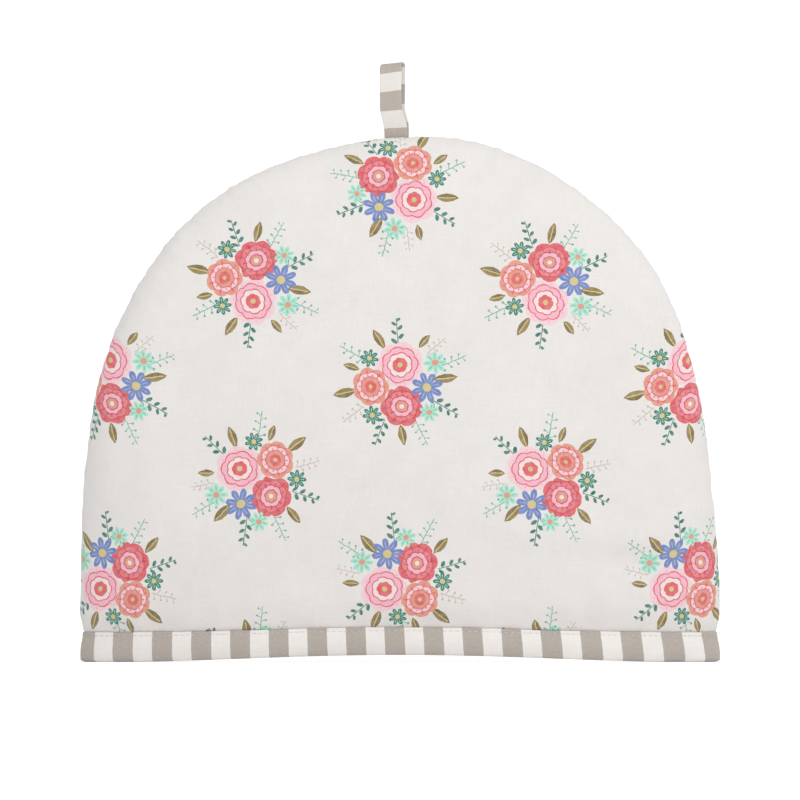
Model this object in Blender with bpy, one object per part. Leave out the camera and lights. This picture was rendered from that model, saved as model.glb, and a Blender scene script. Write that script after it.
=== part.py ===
"""A padded tea cosy standing on its hem.

Two dome-shaped padded walls meet in a seam that runs up one side, over the crown
and down the other. A strip of cloth is wrapped round the open hem of both walls,
and a narrow folded strip is caught in the crown seam as a hanging loop.
The front faces -Y, +X is to the right, and the hem rests at z = 0.
"""

import math
from collections import namedtuple

import bmesh
import bpy
from mathutils import Vector

# Outline, seen face on (metres)
HALF_WIDTH = 0.1695
HEIGHT = 0.2820
SIDE_POWER = 3.42           # the higher, the longer the sides stay upright
CROWN_TILT = 0.008          # the right shoulder stands higher than the left
HEM_ARCH = 0.005            # the middle of the hem lifts off the table
ARCH_HALF = 0.130           # the hem is flat on the table from here outwards

# Depth, seen from the side
HALF_DEPTH = 0.0455         # from the seam's plane to the front of the hem
CROWN_TAPER = 0.55          # share of the depth that is lost up to the crown
LENS_POWER = 0.80           # how full the plan is: 1 is pointed, 0.5 is round

# Padded wall
WALL = 0.007
SEAM_WIDTH = 0.009          # width over which the two walls are pressed together
ROLL_WIDTH = 0.009          # the padded edge rolls over to the seam within this
ROLL_OUTER = 0.006
ROLL_INNER = 0.002
SEAM_GAP = 0.0003

# Binding round the hem
BINDING_HEIGHT = 0.0145
BINDING_CLOTH = 0.0012
BINDING_CORNER = 0.0022
BINDING_GAP = 0.0007
PINCH_OUTER = 0.0020        # the binding presses the wall in by this, outside
PINCH_INNER = 0.0006
PINCH_WIDTH = 0.0004
PINCH_END = BINDING_HEIGHT + 0.002
PUFF_HEIGHT = 0.014         # the wall swells back to its full depth within this

# Hanging loop
LOOP_WIDTH = 0.0134
LOOP_CLOTH = 0.0012
LOOP_RISE = 0.039           # above the crown seam
LOOP_ROOT = 0.008           # length caught in the seam
LOOP_BEND = 0.0039          # radius of the fold, to the middle of the cloth
LOOP_OPENS = 0.45           # share of a leg over which the two legs part
LOOP_X = -0.0019
LOOP_LEAN = -0.0019
LOOP_BACK_SHIFT = 0.0013    # the back leg stands a little to the right of the front one
LOOP_FLAT = 0.017           # the seam is held open over this half width, then closes
LOOP_FADE = 0.014
LOOP_REACH = 0.040          # the opening of the seam dies out this far down the wall

# Mesh steps
COLUMNS = 36
ROWS = 26
RING_STEPS = 2 * COLUMNS
LEG_STEPS = 14
BEND_STEPS = 10

# A skin is one face of a padded wall: a dome of its own width, height and depth
Skin = namedtuple("Skin", "half_width height lens roll bound_roll")
OUTER = Skin(
    half_width=HALF_WIDTH,
    height=HEIGHT,
    lens=HALF_DEPTH - ROLL_OUTER,
    roll=ROLL_OUTER,
    bound_roll=ROLL_OUTER - PINCH_OUTER,
)
INNER = Skin(
    half_width=HALF_WIDTH - SEAM_WIDTH,
    height=HEIGHT - SEAM_WIDTH,
    lens=HALF_DEPTH - WALL - ROLL_INNER,
    roll=ROLL_INNER,
    bound_roll=ROLL_INNER + PINCH_INNER,
)

# Soft troughs across a wall. Places and sizes are in metres, as seen from outside
# that wall; tilt is in degrees and a negative depth is a ridge.
Trough = namedtuple("Trough", "x z half_length half_width depth tilt")
FRONT_TROUGHS = (
    Trough(x=0.124, z=0.058, half_length=0.050, half_width=0.011, depth=0.0018, tilt=-3),
    Trough(x=0.110, z=0.085, half_length=0.055, half_width=0.016, depth=-0.0008, tilt=4),
    Trough(x=-0.095, z=0.044, half_length=0.045, half_width=0.010, depth=0.0009, tilt=6),
    Trough(x=-0.118, z=0.150, half_length=0.060, half_width=0.020, depth=0.0010, tilt=78),
    Trough(x=0.010, z=0.205, half_length=0.070, half_width=0.022, depth=0.0008, tilt=12),
)
BACK_TROUGHS = (
    Trough(x=-0.070, z=0.062, half_length=0.055, half_width=0.012, depth=0.0014, tilt=5),
    Trough(x=0.105, z=0.098, half_length=0.050, half_width=0.018, depth=0.0011, tilt=-10),
    Trough(x=0.020, z=0.190, half_length=0.065, half_width=0.022, depth=0.0009, tilt=-14),
)

PANEL_COLOUR = (0.80, 0.76, 0.72)
BINDING_COLOUR = (0.62, 0.58, 0.53)
LOOP_COLOUR = (0.56, 0.51, 0.46)


def ease(t):
    """Smooth step from 0 at t = 0 to 1 at t = 1."""
    t = min(max(t, 0.0), 1.0)
    return t * t * (3.0 - 2.0 * t)


def cosine_steps(count):
    """Steps from 0 to 1 that crowd together at both ends, where the wall rolls over."""
    return [0.5 - 0.5 * math.cos(math.pi * step / count) for step in range(count + 1)]


def free_of_binding(z):
    """0 inside the binding, 1 where the wall has swollen to its full depth."""
    return ease((z - PINCH_END) / PUFF_HEIGHT)


def width_at_hem(skin, z):
    """Half width that the outline's formula starts from, less what the binding presses in."""
    return skin.half_width - PINCH_WIDTH * (1.0 - free_of_binding(z))


def half_width(skin, z):
    """Half width of a skin's outline at a height."""
    return width_at_hem(skin, z) * math.sqrt(max(1.0 - (z / skin.height) ** SIDE_POWER, 0.0))


def crown_height(skin, x):
    """Height of a skin's outline over the crown at a place across it."""
    return skin.height * (1.0 - (x / skin.half_width) ** 2) ** (1.0 / SIDE_POWER)


def depth(skin, x, z):
    """Distance from the seam's plane to a skin, 0 on the skin's own outline."""
    inside = 1.0 - (z / skin.height) ** SIDE_POWER - (x / width_at_hem(skin, z)) ** 2
    inside = max(inside, 0.0)
    lens = skin.lens * (1.0 - CROWN_TAPER * z / HEIGHT) * inside ** LENS_POWER
    full_roll = 2.0 * ROLL_WIDTH / HALF_WIDTH
    short = 1.0 - min(inside / full_roll, 1.0)
    roll = skin.bound_roll + (skin.roll - skin.bound_roll) * free_of_binding(z)
    return lens + roll * math.sqrt(1.0 - short * short)


def trough_depth(troughs, x, z):
    """Sum of the soft troughs at a place on a wall."""
    total = 0.0
    for trough in troughs:
        turn = math.radians(trough.tilt)
        dx = x - trough.x
        dz = z - trough.z
        along = dx * math.cos(turn) + dz * math.sin(turn)
        across = dz * math.cos(turn) - dx * math.sin(turn)
        spread = (along / trough.half_length) ** 2 + (across / trough.half_width) ** 2
        total += trough.depth * math.exp(-spread)
    return total


def seam_opening(x, z):
    """Distance of a wall's seam face from the seam's plane: wider beside the loop's root."""
    across = 1.0 - ease((abs(x - LOOP_X) - LOOP_FLAT) / LOOP_FADE)
    upwards = ease((z - HEIGHT + LOOP_REACH) / (LOOP_REACH - SEAM_WIDTH - 0.003))
    return SEAM_GAP / 2.0 + (1.5 * LOOP_CLOTH - SEAM_GAP) * across * upwards


def settled(x, y, z):
    """Place in the standing cosy: the crown tilted, the middle of the hem lifted."""
    across = x / HALF_WIDTH
    upwards = z / HEIGHT
    tilt = CROWN_TILT * across * max(1.0 - across * across, 0.0) ** 3 * upwards ** 3
    arch = HEM_ARCH * max(1.0 - (x / ARCH_HALF) ** 2, 0.0) ** 2 * max(1.0 - upwards, 0.0) ** 2
    return Vector((x, y, z + tilt + arch))


def panel_place(skin, u, v):
    """Face-on place (x, z) at u across and v up: four edge curves blended together."""
    hem_z = BINDING_CLOTH + BINDING_GAP
    corner_z = skin.height * math.sqrt(0.5) ** (2.0 / SIDE_POWER)
    corner_x = half_width(skin, corner_z)
    hem_x = half_width(skin, hem_z)
    side_z = hem_z + (corner_z - hem_z) * v
    side_x = half_width(skin, side_z)
    crown_x = corner_x * (2.0 * u - 1.0)
    crown_z = crown_height(skin, crown_x)
    straight_x = (2.0 * u - 1.0) * (hem_x + (corner_x - hem_x) * v)
    straight_z = hem_z + (corner_z - hem_z) * v
    x = (1.0 - v) * hem_x * (2.0 * u - 1.0) + v * crown_x + (2.0 * u - 1.0) * side_x - straight_x
    z = (1.0 - v) * hem_z + v * crown_z + side_z - straight_z
    return x, z


def panel_point(skin, facing, troughs, u, v):
    """Point of a wall's skin; facing is -1 for the front wall and 1 for the back one."""
    x, z = panel_place(skin, u, v)
    reach = depth(skin, x, z)
    # a trough dies out towards the seam, where the wall is held
    held = ease(reach / (2.0 * WALL))
    reach -= held * trough_depth(troughs, -facing * x, z) * free_of_binding(z)
    return settled(x, facing * (reach + seam_opening(x, z)), z)


def fill_grid(bm, rows):
    """Faces between neighbouring points of a grid."""
    for low, high in zip(rows, rows[1:]):
        for left, right, high_left, high_right in zip(low, low[1:], high, high[1:]):
            bm.faces.new((left, right, high_right, high_left))


def rim_of(rows):
    """The grid's outer points in order: hem, right side, crown, left side."""
    hem = rows[0][:-1]
    right = [row[-1] for row in rows[:-1]]
    crown = rows[-1][:0:-1]
    left = [row[0] for row in rows[:0:-1]]
    return hem + right + crown + left


def join_rings(bm, first, second):
    """A band of faces between two closed rows of points of the same length."""
    for step in range(len(first)):
        after = (step + 1) % len(first)
        bm.faces.new((first[step], first[after], second[after], second[step]))


def cloth_material(name, colour):
    """Matt cotton of one plain colour."""
    material = bpy.data.materials.new(name)
    material.use_nodes = True
    shader = material.node_tree.nodes["Principled BSDF"]
    shader.inputs["Base Color"].default_value = (*colour, 1.0)
    shader.inputs["Roughness"].default_value = 0.9
    shader.inputs["Metallic"].default_value = 0.0
    return material


def finish_object(bm, name, colour):
    """Object of the part, smooth but for its sharp edges."""
    bmesh.ops.recalc_face_normals(bm, faces=bm.faces)
    mesh = bpy.data.meshes.new(name)
    bm.to_mesh(mesh)
    bm.free()
    mesh.materials.append(cloth_material(name + "_cloth", colour))
    mesh.shade_smooth()
    mesh.set_sharp_from_angle(angle=math.radians(50))
    piece = bpy.data.objects.new(name, mesh)
    bpy.context.scene.collection.objects.link(piece)
    return piece


def build_panel(name, facing, troughs):
    """One padded wall: an outer and an inner skin joined round their rims."""
    bm = bmesh.new()
    skins = []
    for skin in (OUTER, INNER):
        rows = []
        for v in cosine_steps(ROWS):
            row = [
                bm.verts.new(panel_point(skin, facing, troughs, u, v))
                for u in cosine_steps(COLUMNS)
            ]
            rows.append(row)
        fill_grid(bm, rows)
        skins.append(rows)
    join_rings(bm, rim_of(skins[0]), rim_of(skins[1]))
    return finish_object(bm, name, PANEL_COLOUR)


def hem_point(skin, angle, z):
    """Plan place of a skin at an angle round the hem: 0 is the right-hand seam."""
    x = half_width(skin, z) * math.cos(angle)
    facing = -1.0 if math.sin(angle) >= 0.0 else 1.0
    return Vector((x, facing * depth(skin, x, z), 0.0))


def binding_section():
    """Points round the U of the binding: the skin each follows, how far off it, its height."""
    near = BINDING_GAP
    far = BINDING_GAP + BINDING_CLOTH
    edge = 0.4 * BINDING_CLOTH
    top = BINDING_HEIGHT
    corner = BINDING_CORNER
    outer_leg = [
        (OUTER, near, BINDING_CLOTH),
        (OUTER, near, top - edge),
        (OUTER, near + edge, top),
        (OUTER, far - edge, top),
        (OUTER, far, top - edge),
        (OUTER, far, corner),
        (OUTER, far - 0.3 * corner, 0.3 * corner),
        (OUTER, far - corner, 0.0),
    ]
    inner_leg = [(INNER, -off, z) for _, off, z in reversed(outer_leg)]
    return outer_leg + inner_leg


def build_binding():
    """The strip round the hem: its U section carried round both walls."""
    bm = bmesh.new()
    floor_of_wall = BINDING_CLOTH + BINDING_GAP
    rings = []
    for skin, off, z in binding_section():
        ring = []
        for step in range(RING_STEPS):
            angle = 2.0 * math.pi * step / RING_STEPS
            level = max(z, floor_of_wall)
            outer = hem_point(OUTER, angle, level)
            inner = hem_point(INNER, angle, level)
            outwards = (outer - inner).normalized()
            base = outer if skin is OUTER else inner
            plan = base + outwards * off
            ring.append(bm.verts.new(settled(plan.x, plan.y, z)))
        rings.append(ring)
    for first, second in zip(rings, rings[1:] + rings[:1]):
        join_rings(bm, first, second)
    return finish_object(bm, "hem_binding", BINDING_COLOUR)


def loop_path():
    """Middle line of the folded strip from its front root, over the fold, to its back root.

    Each step is the place and the direction across the strip's thickness.
    """
    root_y = LOOP_CLOTH / 2.0 + SEAM_GAP / 2.0
    root_z = HEIGHT - LOOP_ROOT
    bend_z = HEIGHT + LOOP_RISE - LOOP_BEND - LOOP_CLOTH / 2.0
    leg = bend_z - root_z
    places = []
    for step in range(LEG_STEPS):
        rise = leg * step / LEG_STEPS
        spread = ease((rise - LOOP_ROOT) / (LOOP_OPENS * leg))
        places.append((-root_y - (LOOP_BEND - root_y) * spread, root_z + rise))
    for step in range(BEND_STEPS // 2 + 1):
        turn = math.pi * step / BEND_STEPS
        places.append((-LOOP_BEND * math.cos(turn), bend_z + LOOP_BEND * math.sin(turn)))
    back = [(-y, z) for y, z in reversed(places[:-1])]
    places += back
    path = []
    for step, (y, z) in enumerate(places):
        before = places[max(step - 1, 0)]
        after = places[min(step + 1, len(places) - 1)]
        along = Vector((0.0, after[0] - before[0], after[1] - before[1])).normalized()
        across = Vector((0.0, -along.z, along.y))
        height = (z - root_z) / (leg + LOOP_BEND)
        shift = LOOP_BACK_SHIFT * ease(y / LOOP_BEND) * math.sin(math.pi * height)
        path.append((Vector((LOOP_X + LOOP_LEAN * height + shift, y, z)), across))
    return path


def build_loop():
    """The folded strip, with softened edges."""
    bm = bmesh.new()
    half = LOOP_WIDTH / 2.0
    thick = LOOP_CLOTH / 2.0
    edge = 0.8 * thick
    section = [
        (-half, 0.0),
        (edge - half, -thick),
        (half - edge, -thick),
        (half, 0.0),
        (half - edge, thick),
        (edge - half, thick),
    ]
    rings = []
    for middle, across in loop_path():
        ring = [bm.verts.new(middle + Vector((x, 0.0, 0.0)) + across * off) for x, off in section]
        rings.append(ring)
    for first, second in zip(rings, rings[1:]):
        join_rings(bm, first, second)
    bm.faces.new(rings[0])
    bm.faces.new(rings[-1])
    return finish_object(bm, "hanging_loop", LOOP_COLOUR)


def main():
    for old in list(bpy.data.objects):
        bpy.data.objects.remove(old)
    build_panel("front_panel", -1.0, FRONT_TROUGHS)
    build_panel("back_panel", 1.0, BACK_TROUGHS)
    build_binding()
    build_loop()


main()
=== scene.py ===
"""Tea cosy in printed cotton: two padded walls, a striped hem binding and a striped loop.

Laid out as a Blender add-on: sizes and colours are properties, and each piece is an
operator. Run as a script, it dresses the solids that it loads and sets up a plain studio.
"""

import math
from collections import namedtuple

import bmesh
import bpy
import numpy as np
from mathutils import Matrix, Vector, noise


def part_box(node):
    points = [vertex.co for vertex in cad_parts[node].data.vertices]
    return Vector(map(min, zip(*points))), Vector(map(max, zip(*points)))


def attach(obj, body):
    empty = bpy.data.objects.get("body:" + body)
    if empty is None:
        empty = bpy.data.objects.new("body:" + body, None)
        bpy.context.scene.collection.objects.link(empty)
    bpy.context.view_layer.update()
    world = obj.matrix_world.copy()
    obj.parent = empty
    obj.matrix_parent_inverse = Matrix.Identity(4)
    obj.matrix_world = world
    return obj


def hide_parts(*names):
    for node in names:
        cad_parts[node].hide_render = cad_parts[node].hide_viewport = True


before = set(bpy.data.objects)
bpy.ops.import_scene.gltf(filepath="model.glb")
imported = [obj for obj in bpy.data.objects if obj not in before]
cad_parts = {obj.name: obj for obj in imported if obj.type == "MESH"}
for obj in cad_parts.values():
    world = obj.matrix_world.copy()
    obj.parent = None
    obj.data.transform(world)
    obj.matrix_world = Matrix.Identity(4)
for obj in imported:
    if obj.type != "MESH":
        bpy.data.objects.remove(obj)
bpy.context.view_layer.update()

bl_info = {
    "name": "Printed tea cosy",
    "version": (1, 0, 0),
    "blender": (4, 5, 0),
    "location": "View3D > Sidebar > Tea cosy",
    "description": "Padded cotton tea cosy with a posy print, a striped binding and a loop",
    "category": "Object",
}

WALL_LOW, WALL_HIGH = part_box("front_panel")

# Steps of the fine meshes
WALL_COLUMNS = 192
WALL_ROWS = 160
HEM_STEPS = 384
LOOP_LEG_STEPS = 44
LOOP_BEND_STEPS = 16


# ---------------------------------------------------------------- sizes and colours


def length(name, default, description):
    """A property that is a length in metres."""
    return bpy.props.FloatProperty(
        name=name, description=description, default=default, unit="LENGTH", precision=5
    )


def number(name, default, description):
    """A property that is a plain number."""
    return bpy.props.FloatProperty(
        name=name, description=description, default=default, precision=3
    )


def linear(red, green, blue):
    """Linear colour of a dye given as it looks on a screen, 0 to 255."""

    def channel(value):
        value /= 255.0
        return value / 12.92 if value <= 0.04045 else ((value + 0.055) / 1.055) ** 2.4

    return (channel(red), channel(green), channel(blue))


def dye(name, screen_colour, description):
    """A property that is a colour."""
    return bpy.props.FloatVectorProperty(
        name=name,
        description=description,
        default=linear(*screen_colour),
        subtype="COLOR",
        size=3,
        min=0.0,
        max=1.0,
    )


class CosySizes(bpy.types.PropertyGroup):
    """Sizes of the cosy's cut and sewn pieces"""

    half_width: length("Half width", round(WALL_HIGH[0], 4), "Middle to side seam, at the hem")
    height: length("Height", 0.2820, "Hem to crown seam")
    side_power: number("Upright sides", 3.42, "The higher, the longer the sides stay upright")
    half_depth: length("Half depth", 0.0455, "Seam plane to the front of the hem")
    crown_taper: number("Crown taper", 0.55, "Share of the depth that is lost up to the crown")
    lens_power: number("Fullness of plan", 0.80, "1 is pointed in plan, 0.5 is round")
    crown_tilt: length("Crown tilt", 0.008, "How much the right shoulder stands up")
    hem_arch: length("Hem arch", 0.0037, "Lift of the middle of the hem")
    arch_half: length("Arch half width", 0.150, "The hem lies flat from here outwards")
    left_tuck: length("Left tuck", 0.0009, "How far the left end of the hem is tucked in")
    wall: length("Wall", 0.007, "Thickness of cloth and padding together")
    seam_width: length("Seam width", 0.009, "Width over which the walls are pressed together")
    roll_width: length("Roll width", 0.012, "Distance in which the edge rolls to the seam")
    roll_power: number("Squareness of roll", 2.6, "2 is a round edge, and more is squarer")
    roll_outer: length("Outer roll", 0.007, "Depth of the rolled edge outside")
    roll_inner: length("Inner roll", 0.002, "Depth of the rolled edge inside")
    seam_gap: length("Seam gap", 0.0003, "Room between the two walls at the seam")
    groove: length("Seam groove", 0.0015, "How far the stitched seam draws the cloth in")
    lip: length("Seam lip", 0.0024, "Depth from the seam over which the groove opens")
    binding_height: length("Binding height", 0.0152, "Visible height of the binding")
    end_rise: length("Binding rise", 0.0007, "How much taller the binding is at both ends")
    binding_cloth: length("Binding cloth", 0.0012, "Thickness of the folded binding")
    binding_gap: length("Binding gap", 0.0007, "Room between the binding and the wall")
    pinch_outer: length("Outer pinch", 0.0028, "How far the binding presses the wall in")
    pinch_inner: length("Inner pinch", 0.0006, "The same on the inner face")
    pinch_width: length("Side pinch", 0.0004, "The same at the side seams")
    puff_height: length("Puff height", 0.014, "Height in which the wall swells out again")
    hem_round: length("Hem rounding", 0.0020, "How far the hem is drawn in at its lower edge")
    round_height: length("Rounding height", 0.0085, "Height over which the hem is rounded")
    end_flare: length("End flare", 0.0011, "How far the lower edge stands out at both ends")
    loop_width: length("Loop width", 0.0120, "Width of the hanging loop's strip")
    loop_cloth: length("Loop cloth", 0.0012, "Thickness of the folded strip")
    loop_rise: length("Loop rise", 0.0396, "Height of the loop above the crown seam")
    loop_root: length("Loop root", 0.008, "Length of the strip caught in the seam")
    loop_bend: length("Loop bend", 0.0039, "Radius of the loop's fold")
    loop_x: length("Loop place", -0.0019, "Place of the loop across the crown")
    loop_lean: length("Loop lean", -0.0028, "Sideways lean of the loop's top")
    loop_tilt: number("Loop tilt", 0.11, "Slope of the loop's fold, up to the right")
    loop_shift: length("Loop shift", 0.0019, "How far the back leg stands to the right")
    loop_flat: length("Open seam", 0.017, "Half width over which the loop holds the seam open")
    loop_fade: length("Open seam fade", 0.014, "Distance in which the seam closes again")
    loop_reach: length("Open seam reach", 0.040, "How far down the wall that shows")


class CosyRelief(bpy.types.PropertyGroup):
    """How uneven the padding and the sewing are"""

    broad: length("Broad unevenness", 0.0020, "Height of the padding's slow swells")
    broad_span: length("Span of swells", 0.062, "Distance over which the swells change")
    lump: length("Lumps", 0.0007, "Height of the padding's small lumps")
    lump_span: length("Span of lumps", 0.024, "Distance over which the lumps change")
    fine: length("Fine creases", 0.00018, "Height of the cloth's small creases")
    fine_span: length("Span of creases", 0.011, "Distance over which the creases change")
    puff_start: length("Start of dimples", 0.0030, "Height above the binding where they start")
    hem_puff: length("Hem puff", 0.0034, "How far the wall swells above the binding")
    puff_rise: length("Puff rise", 0.0105, "Height above the binding in which it swells")
    puff_fade: length("Puff fade", 0.100, "Height in which the swelling dies out again")
    hem_dimple: length("Hem dimples", 0.0012, "Depth of the dimples above the binding")
    hem_span: length("Span of hem dimples", 0.009, "Distance between those dimples")
    hem_fade: length("Fade of hem dimples", 0.011, "Height in which they die out")
    seam_pucker: length("Seam puckers", 0.0009, "Height of the puckers beside the seam")
    seam_span: length("Span of seam puckers", 0.0065, "Distance between the puckers")
    seam_fade: length("Fade of seam puckers", 0.0085, "Distance in which they die out")
    seam_wander: length("Wandering seam", 0.0004, "How far the seam strays from its line")
    hem_wander: length("Wandering binding", 0.00025, "How uneven the binding's edge is")


class CosyPrint(bpy.types.PropertyGroup):
    """Spacing of the print, the stripes and the weave"""

    posy_across: length("Posy pitch across", 0.078, "Distance between the columns of posies")
    posy_up: length("Posy pitch up", 0.106, "Distance between the posies of one column")
    posy_first: length("First posy", 0.046, "Height of the lowest posy of the middle column")
    stripe: length("Stripe pitch", 0.0220, "Width of a grey and a white stripe together")
    loop_stripe: length("Loop stripe pitch", 0.0203, "The same on the hanging loop")
    stripe_share: number("Grey share", 0.513, "Share of the pitch that is grey")
    yarn: length("Yarn pitch", 0.00048, "Distance between neighbouring yarns")


class CosyColours(bpy.types.PropertyGroup):
    """Dyes of the cloth and the print"""

    ground: dye("Ground", (221, 217, 214), "Unprinted cotton")
    lining: dye("Inner face", (222, 217, 211), "Plain inner face of the walls")
    stripe_grey: dye("Grey stripe", (166, 157, 148), "Dyed stripe of the binding")
    stripe_white: dye("White stripe", (231, 227, 223), "Bleached stripe of the binding")
    # Painted shade: the loop's white is the binding's white painted darker, for the light on the
    # loop
    loop_white: dye("Loop white", (219, 214, 209), "White stripe of the loop, greyed by handling")
    thread: dye("Thread", (214, 207, 199), "Sewing thread")
    pink: dye("Pink", (233, 172, 191), "Rose petals")
    blush: dye("Blush", (231, 196, 203), "Light petals")
    petal: dye("Petal", (232, 214, 211), "Palest strokes")
    rouge: dye("Rouge", (222, 112, 117), "Middle petals of the red flowers")
    wine: dye("Wine", (188, 62, 78), "Deepest strokes")
    coral: dye("Coral", (212, 84, 94), "Dark petals")
    salmon: dye("Salmon", (214, 142, 118), "Warm petals")
    blue: dye("Blue", (98, 122, 182), "Blue daisies")
    mist: dye("Mist", (150, 166, 196), "Light strokes on blue")
    teal: dye("Teal", (28, 114, 98), "Fronds and small daisies")
    mint: dye("Mint", (154, 215, 193), "Pale daisies")
    olive: dye("Olive", (138, 117, 60), "Leaves")
    moss: dye("Moss", (116, 99, 48), "Shaded half of a leaf")
    straw: dye("Straw", (202, 185, 122), "Leaf veins and flower hearts")
    sage: dye("Sage", (98, 167, 147), "Fine sprays")
    taupe: dye("Taupe", (184, 172, 161), "Pale sprays")


# ---------------------------------------------------------------- shape of the walls

# One face of a padded wall: a dome of its own width, height and depth
# that starts at the hem. hem_round is how far it is drawn in at its lower edge.
Skin = namedtuple("Skin", "half_width height lens roll bound_roll hem_round")

# Soft troughs across a wall, in metres as seen from outside it. Tilt is in degrees,
# and a negative depth is a ridge.
Trough = namedtuple("Trough", "x z half_length half_width depth tilt")
FRONT_TROUGHS = (
    Trough(0.120, 0.0668, 0.052, 0.0095, -0.0024, -2),
    Trough(0.120, 0.0528, 0.052, 0.0095, 0.0024, -2),
    Trough(0.055, 0.088, 0.105, 0.044, -0.0024, 0),
    Trough(-0.095, 0.044, 0.045, 0.010, 0.0009, 6),
    Trough(-0.118, 0.150, 0.060, 0.020, 0.0010, 78),
    Trough(-0.139, 0.135, 0.120, 0.024, -0.0036, 86),
    Trough(0.010, 0.205, 0.070, 0.022, 0.0008, 12),
)
BACK_TROUGHS = (
    Trough(-0.070, 0.062, 0.055, 0.012, 0.0014, 5),
    Trough(0.105, 0.098, 0.050, 0.018, 0.0011, -10),
    Trough(0.020, 0.190, 0.065, 0.022, 0.0009, -14),
)

# Where the padding fills the outline out, seen from the front: side is 1 on the right
Bulge = namedtuple("Bulge", "side z half_height out")
BULGES = (
    Bulge(-1, 0.150, 0.045, 0.0024),
    Bulge(-1, 0.045, 0.050, 0.0008),
    Bulge(-1, 0.097, 0.026, 0.0009),
    Bulge(-1, 0.240, 0.040, 0.0008),
    Bulge(1, 0.207, 0.034, 0.0026),
    Bulge(1, 0.108, 0.032, -0.0008),
    Bulge(1, 0.035, 0.035, 0.0010),
    Bulge(1, 0.282, 0.012, 0.0012),
    Bulge(-1, 0.279, 0.010, -0.0008),
)

# facing is the wall's side of the seam: -1 for the front. seed sets its unevenness, and
# cut is where in the printed cloth the wall's own zero lies.
Wall = namedtuple("Wall", "name node slot facing troughs seed cut")
FRONT_WALL = Wall(
    "front_wall", "front_panel", "front_cotton", -1.0, FRONT_TROUGHS, 3.1, (0.0, 0.0)
)
BACK_WALL = Wall(
    "back_wall", "back_panel", "back_cotton", 1.0, BACK_TROUGHS, 47.7, (0.043, 0.021)
)

# The binding grows taller from this far out, over this width
TALLER_FROM = 0.06
TALLER_WIDTH = 0.09
# Height above the binding at which the wall starts to swell out
SWELL_START = 0.002
# The loop's root holds the seam open by this many thicknesses of its cloth, and all of
# it is open this far below where the walls are pressed together
ROOT_CLOTHS = 1.5
OPEN_MARGIN = 0.003
# Width from the middle in which a bulge of one side comes in
BULGE_EASE = 0.04
# Depth in which what is done at the seam dies out, and the share of the hem's puff lost there
SEAM_FADE = 0.012
PUFF_LOST = 0.35
# Length of the seam for one radian of turn round the middle of the hem
SEAM_RADIUS = 0.242
# Puckers start in this height above the binding and this depth from the seam
PUCKER_HEIGHT = 0.006
PUCKER_DEPTH = 0.003
# Spans of the seam's slow and quick straying
STRAY_SLOW = 0.021
STRAY_QUICK = 0.009
# Share of the padding's swells that shows inside
SWELL_INSIDE = 0.6


def ease(t):
    """Smooth step from 0 at t = 0 to 1 at t = 1, for numbers and arrays."""
    t = np.clip(t, 0.0, 1.0)
    return t * t * (3.0 - 2.0 * t)


def cosine_steps(count):
    """Steps from 0 to 1 that crowd together at both ends, where the wall rolls over."""
    return 0.5 - 0.5 * np.cos(np.pi * np.arange(count + 1) / count)


def unit(vectors, least=1e-12):
    """Vectors of the last axis at length 1."""
    return vectors / np.maximum(np.linalg.norm(vectors, axis=-1, keepdims=True), least)


def places(*coordinates):
    """Points from their coordinates along each axis."""
    return np.stack(coordinates, axis=-1)


def uneven(across, up, seed):
    """Soft noise between about -1 and 1 at each place of two arrays."""
    flat = [noise.noise(Vector((a, b, seed))) for a, b in zip(across.ravel(), up.ravel())]
    return np.array(flat).reshape(across.shape)


def skins_of(sizes):
    """The outer and the inner face of a wall."""
    outer = Skin(
        sizes.half_width,
        sizes.height,
        sizes.half_depth - sizes.roll_outer,
        sizes.roll_outer,
        sizes.roll_outer - sizes.pinch_outer,
        sizes.hem_round,
    )
    inner = Skin(
        sizes.half_width - sizes.seam_width,
        sizes.height - sizes.seam_width,
        sizes.half_depth - sizes.wall - sizes.roll_inner,
        sizes.roll_inner,
        sizes.roll_inner + sizes.pinch_inner,
        -0.4 * sizes.hem_round,
    )
    return outer, inner


def binding_top(sizes, x):
    """Height of the binding's folded top edge, taller towards both ends."""
    return sizes.binding_height + sizes.end_rise * ease((np.abs(x) - TALLER_FROM) / TALLER_WIDTH)


def free_of_binding(sizes, z):
    """0 inside the binding, 1 where the wall has swollen to its full depth."""
    return ease((z - sizes.binding_height - SWELL_START) / sizes.puff_height)


def width_at_hem(sizes, skin, z):
    """Half width that the outline starts from, less what the binding presses in."""
    return skin.half_width - sizes.pinch_width * (1.0 - free_of_binding(sizes, z))


def half_width(sizes, skin, z):
    """Half width of a skin's outline at a height."""
    upright = np.maximum(1.0 - (z / skin.height) ** sizes.side_power, 0.0)
    return width_at_hem(sizes, skin, z) * np.sqrt(upright)


def inside_outline(sizes, skin, x, z):
    """1 at the middle of the hem, falling to 0 on a skin's outline."""
    across = x / width_at_hem(sizes, skin, z)
    return np.maximum(1.0 - (z / skin.height) ** sizes.side_power - across**2, 0.0)


def depth(sizes, skin, x, z):
    """Distance from the seam's plane to a skin, 0 on the skin's own outline."""
    inside = inside_outline(sizes, skin, x, z)
    lens = skin.lens * (1.0 - sizes.crown_taper * z / sizes.height) * inside**sizes.lens_power
    short = 1.0 - np.minimum(inside * sizes.half_width / (2.0 * sizes.roll_width), 1.0)
    roll = skin.bound_roll + (skin.roll - skin.bound_roll) * free_of_binding(sizes, z)
    low = 1.0 - (z - sizes.binding_cloth - sizes.binding_gap) / sizes.round_height
    roll = roll - skin.hem_round * np.clip(low, 0.0, 1.0) ** 2
    return lens + roll * (1.0 - short**sizes.roll_power) ** (1.0 / sizes.roll_power)


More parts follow.
